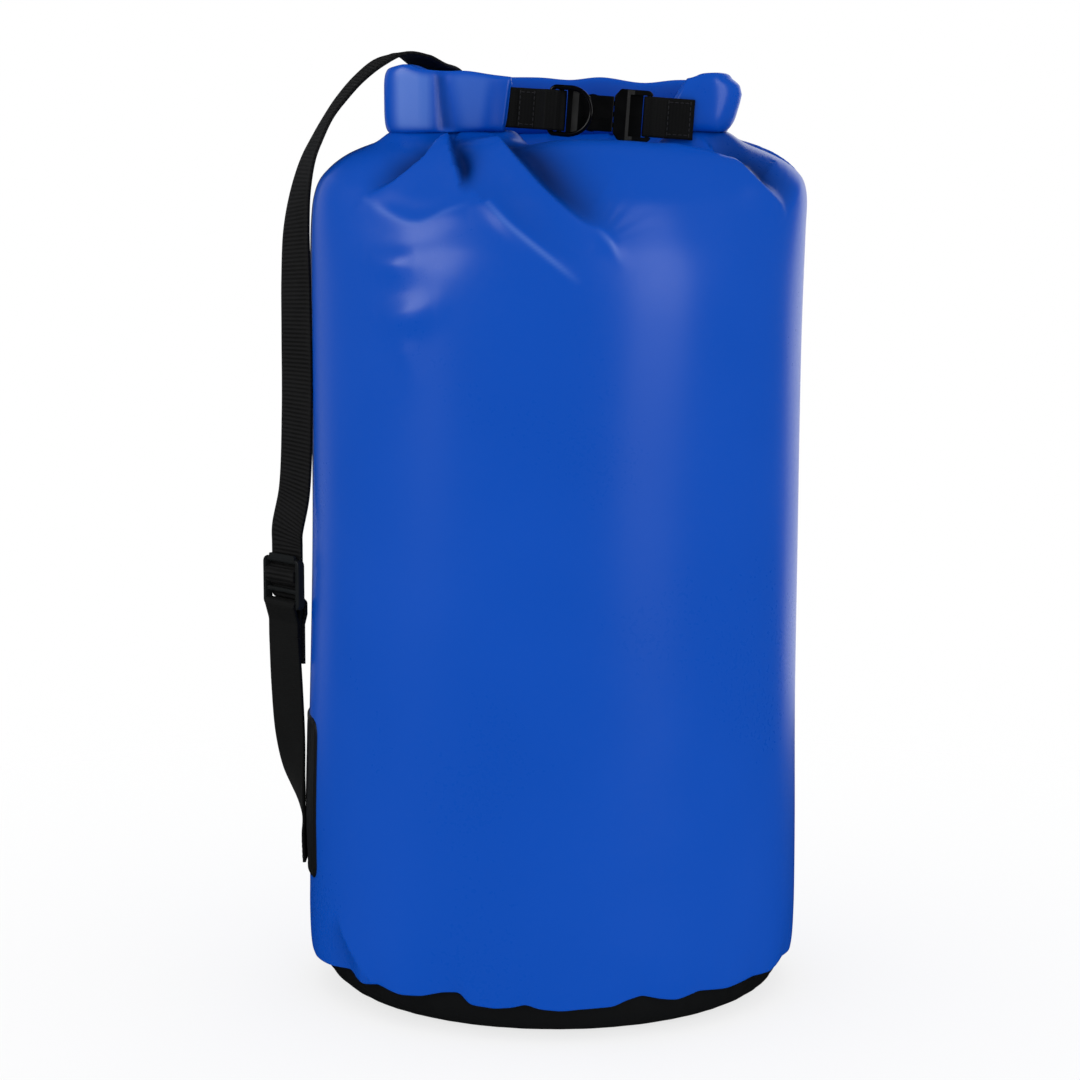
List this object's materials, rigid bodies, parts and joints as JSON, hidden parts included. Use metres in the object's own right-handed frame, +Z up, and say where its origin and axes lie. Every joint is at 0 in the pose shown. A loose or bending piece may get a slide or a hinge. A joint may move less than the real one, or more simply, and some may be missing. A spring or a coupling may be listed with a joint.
{
  "type": "dry bag",
  "caption": "Cylindrical roll-top dry bag, packed full and standing, its mouth rolled down and clipped into a carry loop, with a webbing shoulder strap down one side.",
  "frame": {"origin": "centre of the bag's round base, on the ground it stands on", "axes": "+Z up along the bag, -Y towards the clipped side of the closure, the shoulder strap on the -X side"},
  "size_m": [0.2668, 0.2471, 0.4613],
  "materials": {
    "blue_tarpaulin": "satin",
    "black_tarpaulin": "satin",
    "stiffener_plastic": "matte",
    "closure_webbing": "matte",
    "strap_webbing": "matte",
    "ribbed_webbing": "matte",
    "buckle_plastic": "satin",
    "ring_plastic": "glossy"
  },
  "bodies": {
    "bag": {"body_tube": "blue_tarpaulin", "base_panel": "black_tarpaulin", "shoulder": "blue_tarpaulin", "roll_top": "blue_tarpaulin", "closure_stiffener": "stiffener_plastic", "lower_anchor_patch": "black_tarpaulin", "upper_anchor_patch": "black_tarpaulin", "anchor_tab": "strap_webbing", "webbing_tab": "ribbed_webbing", "closure_strap_left": "closure_webbing", "buckle_female": "buckle_plastic"},
    "buckle_male_half": {"buckle_male": "buckle_plastic", "closure_strap_right": "closure_webbing"},
    "prong_upper": {"buckle_prong_upper": "buckle_plastic"},
    "prong_lower": {"buckle_prong_lower": "buckle_plastic"},
    "d_ring": {"closure_d_ring": "ring_plastic"},
    "shoulder_strap": {"shoulder_webbing": "ribbed_webbing", "webbing_turn": "ribbed_webbing", "webbing_tail": "ribbed_webbing", "anchor_strap": "strap_webbing"},
    "ladder_lock": {"strap_ladder_lock": "buckle_plastic"}
  },
  "joints": [
    {"name": "buckle_pull", "type": "slide", "parent": "bag", "child": "buckle_male_half", "axis": [0.9976, 0, -0.0698], "range_m": [0, 0.017], "deforming": ["buckle_prong_upper", "buckle_prong_lower"]},
    {"name": "prong_squeeze_upper", "type": "hinge", "parent": "buckle_male_half", "child": "prong_upper", "pos_m": [0.03002, -0.0456, 0.43366], "axis": [0, -1, 0], "range_deg": [0, 10], "stiffness_Nm_per_rad": 0.5},
    {"name": "prong_squeeze_lower", "type": "hinge", "parent": "buckle_male_half", "child": "prong_lower", "pos_m": [0.02932, -0.0456, 0.42368], "axis": [0, 1, 0], "range_deg": [0, 10], "stiffness_Nm_per_rad": 0.5},
    {"name": "d_ring_swing", "type": "hinge", "parent": "bag", "child": "d_ring", "pos_m": [-0.00265, -0.0477, 0.43093], "axis": [-0.0698, 0, -0.9976], "range_deg": [0, 125]},
    {"name": "strap_swing", "type": "hinge", "parent": "bag", "child": "shoulder_strap", "pos_m": [-0.12271, 0, 0.073], "axis": [-0.2924, -0.3591, -0.8863], "range_deg": [0, 90], "deforming": ["shoulder_webbing", "anchor_strap"]},
    {"name": "ladder_lock_tilt", "type": "hinge", "parent": "shoulder_strap", "child": "ladder_lock", "pos_m": [-0.1346, -0.006, 0.1889], "axis": [0.6402, -0.7682, 0], "range_deg": [0, 30], "deforming": ["webbing_turn"]}
  ]
}
